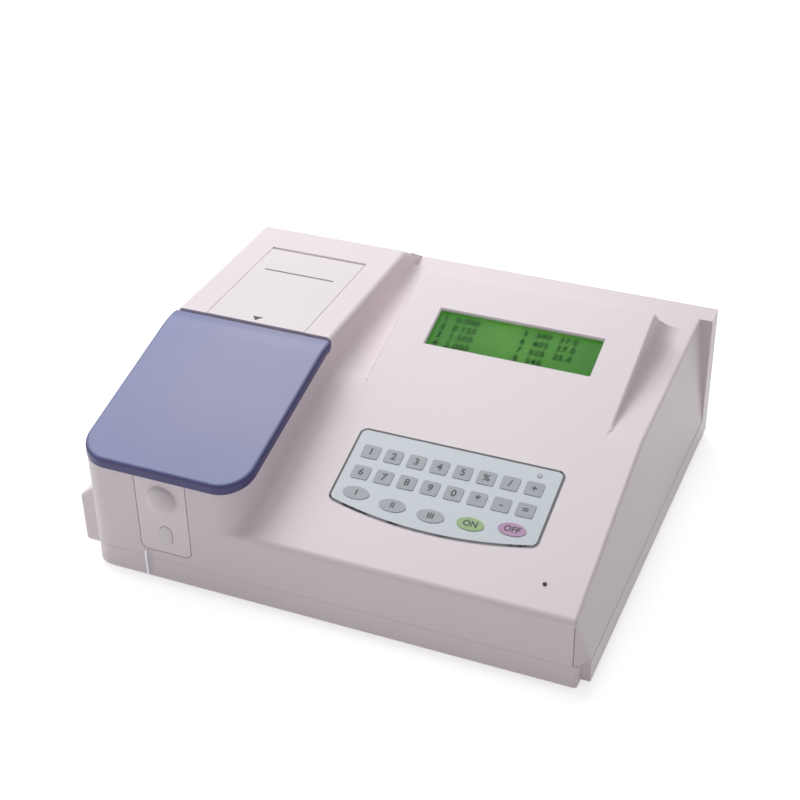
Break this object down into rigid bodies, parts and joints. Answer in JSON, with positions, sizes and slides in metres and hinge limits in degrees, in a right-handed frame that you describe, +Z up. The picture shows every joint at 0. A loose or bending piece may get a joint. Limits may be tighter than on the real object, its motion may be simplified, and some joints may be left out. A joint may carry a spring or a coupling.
{
  "type": "benchtop chemistry analyzer",
  "caption": "Benchtop photometric chemistry analyzer with a sloped keypad panel, a hinged sample lid over the flow cell, a sipper on the front and a thermal printer in its tower.",
  "frame": {"origin": "on the table, under the middle of the whole outline", "axes": "+X to the right seen from the front, +Y to the rear, +Z up"},
  "size_m": [0.396, 0.349, 0.1437],
  "materials": {
    "top_case": "fine texture",
    "base_tray": "fine texture",
    "feet": "matt",
    "rear_frame": "fine texture",
    "rear_panel": "powder coat",
    "case_screws": "plated",
    "inner_screws": "plated",
    "sample_lid": "gloss, violet tint",
    "lid_pins": "ground",
    "compartment_tub": "fine texture",
    "optics_plate": "machined",
    "lamp_housing": "black anodised",
    "halogen_lamp": "clear",
    "filter_wheel": "black anodised",
    "filters": "coated",
    "wheel_motor": "plated",
    "cell_block": "machined",
    "flow_cell": "polished quartz",
    "detector": "board and can",
    "access_panel": "fine texture",
    "sipper_hood": "smooth",
    "aspirate_button": "smooth",
    "button_switch": "moulded",
    "sipper_needle": "drawn tube",
    "pump_motor": "plated",
    "pump_rotor": "acetal",
    "pump_rollers": "ground",
    "pump_track": "acetal",
    "pump_tube": "silicone",
    "pump_cover": "fine texture",
    "printer_cover": "fine texture",
    "printer_bay": "moulded",
    "paper_roll": "thermal paper",
    "printer_frame": "moulded",
    "platen_roller": "ground rubber on steel",
    "platen_gear": "acetal",
    "motor_pinion": "cut brass",
    "printer_motor": "plated",
    "lcd_window": "clear pane",
    "lcd_glass": "yellow-green cell",
    "lcd_frame": "black steel",
    "lcd_board": "glass epoxy",
    "keypad_overlay": "printed film",
    "square_keys": "printed film",
    "oval_keys_grey": "printed film",
    "oval_key_green": "printed film",
    "oval_key_purple": "printed film",
    "status_lights": "tinted",
    "main_board": "glass epoxy",
    "board_parts": "moulded",
    "power_supply": "punched sheet",
    "fan_frame": "moulded",
    "fan_rotor": "moulded",
    "fan_guard": "plated",
    "mains_inlet": "moulded",
    "inlet_pins": "nickel plated",
    "fuse_holder": "moulded",
    "power_switch": "moulded",
    "power_rocker": "moulded",
    "serial_port": "plated shell"
  },
  "bodies": {
    "chassis": {"top_case": "top_case", "base_tray": "base_tray", "feet": "feet", "rear_frame": "rear_frame", "rear_panel": "rear_panel", "case_screws": "case_screws", "inner_screws": "inner_screws", "lid_pins": "lid_pins", "compartment_tub": "compartment_tub", "optics_plate": "optics_plate", "lamp_housing": "lamp_housing", "halogen_lamp": "halogen_lamp", "wheel_motor": "wheel_motor", "cell_block": "cell_block", "flow_cell": "flow_cell", "detector": "detector", "access_panel": "access_panel", "sipper_hood": "sipper_hood", "button_switch": "button_switch", "sipper_needle": "sipper_needle", "pump_motor": "pump_motor", "pump_track": "pump_track", "pump_tube": "pump_tube", "pump_cover": "pump_cover", "printer_bay": "printer_bay", "printer_frame": "printer_frame", "printer_motor": "printer_motor", "lcd_window": "lcd_window", "lcd_glass": "lcd_glass", "lcd_frame": "lcd_frame", "lcd_board": "lcd_board", "keypad_overlay": "keypad_overlay", "square_keys": "square_keys", "oval_keys_grey": "oval_keys_grey", "oval_key_green": "oval_key_green", "oval_key_purple": "oval_key_purple", "status_lights": "status_lights", "main_board": "main_board", "board_parts": "board_parts", "power_supply": "power_supply", "fan_frame": "fan_frame", "fan_guard": "fan_guard", "mains_inlet": "mains_inlet", "inlet_pins": "inlet_pins", "fuse_holder": "fuse_holder", "power_switch": "power_switch", "serial_port": "serial_port"},
    "lid": {"sample_lid": "sample_lid"},
    "printer_lid": {"printer_cover": "printer_cover"},
    "button": {"aspirate_button": "aspirate_button"},
    "pump_head": {"pump_rotor": "pump_rotor", "pump_rollers": "pump_rollers"},
    "wheel": {"filter_wheel": "filter_wheel", "filters": "filters"},
    "platen": {"platen_roller": "platen_roller", "platen_gear": "platen_gear"},
    "pinion": {"motor_pinion": "motor_pinion"},
    "roll": {"paper_roll": "paper_roll"},
    "fan": {"fan_rotor": "fan_rotor"},
    "rocker": {"power_rocker": "power_rocker"}
  },
  "joints": [
    {"name": "lid_hinge", "type": "hinge", "parent": "chassis", "child": "lid", "pos_m": [-0.1207, -0.017, 0.1346], "axis": [-1, 0, 0], "range_deg": [0, 90]},
    {"name": "printer_lid_hinge", "type": "hinge", "parent": "chassis", "child": "printer_lid", "pos_m": [-0.1199, 0.1021, 0.1364], "axis": [-1, 0, 0], "range_deg": [0, 75]},
    {"name": "button_press", "type": "slide", "parent": "chassis", "child": "button", "axis": [0, 1, 0], "range_m": [0, 0.002], "stiffness_N_per_m": 400, "springref_m": -0.0005},
    {"name": "pump_spin", "type": "hinge", "parent": "chassis", "child": "pump_head", "pos_m": [-0.1918, -0.1245, 0.036], "axis": [1, 0, 0], "continuous": true},
    {"name": "wheel_spin", "type": "hinge", "parent": "chassis", "child": "wheel", "pos_m": [-0.1245, -0.0735, 0.056], "axis": [1, 0, 0], "continuous": true},
    {"name": "platen_spin", "type": "hinge", "parent": "chassis", "child": "platen", "pos_m": [-0.1211, 0.0715, 0.1236], "axis": [1, 0, 0], "continuous": true},
    {"name": "pinion_spin", "type": "hinge", "parent": "chassis", "child": "pinion", "pos_m": [-0.0863, 0.0715, 0.11005], "axis": [1, 0, 0], "continuous": true},
    {"name": "roll_spin", "type": "hinge", "parent": "chassis", "child": "roll", "pos_m": [-0.1211, 0.0225, 0.1114], "axis": [1, 0, 0], "continuous": true},
    {"name": "fan_spin", "type": "hinge", "parent": "chassis", "child": "fan", "pos_m": [0.124, 0.1615, 0.062], "axis": [0, 1, 0], "continuous": true},
    {"name": "rocker_tilt", "type": "hinge", "parent": "chassis", "child": "rocker", "pos_m": [-0.062, 0.168, 0.05], "axis": [-1, 0, 0], "range_deg": [0, 16]}
  ],
  "couplings": [
    {"joint": "pinion_spin", "follows": "platen_spin", "ratio": -2}
  ]
}
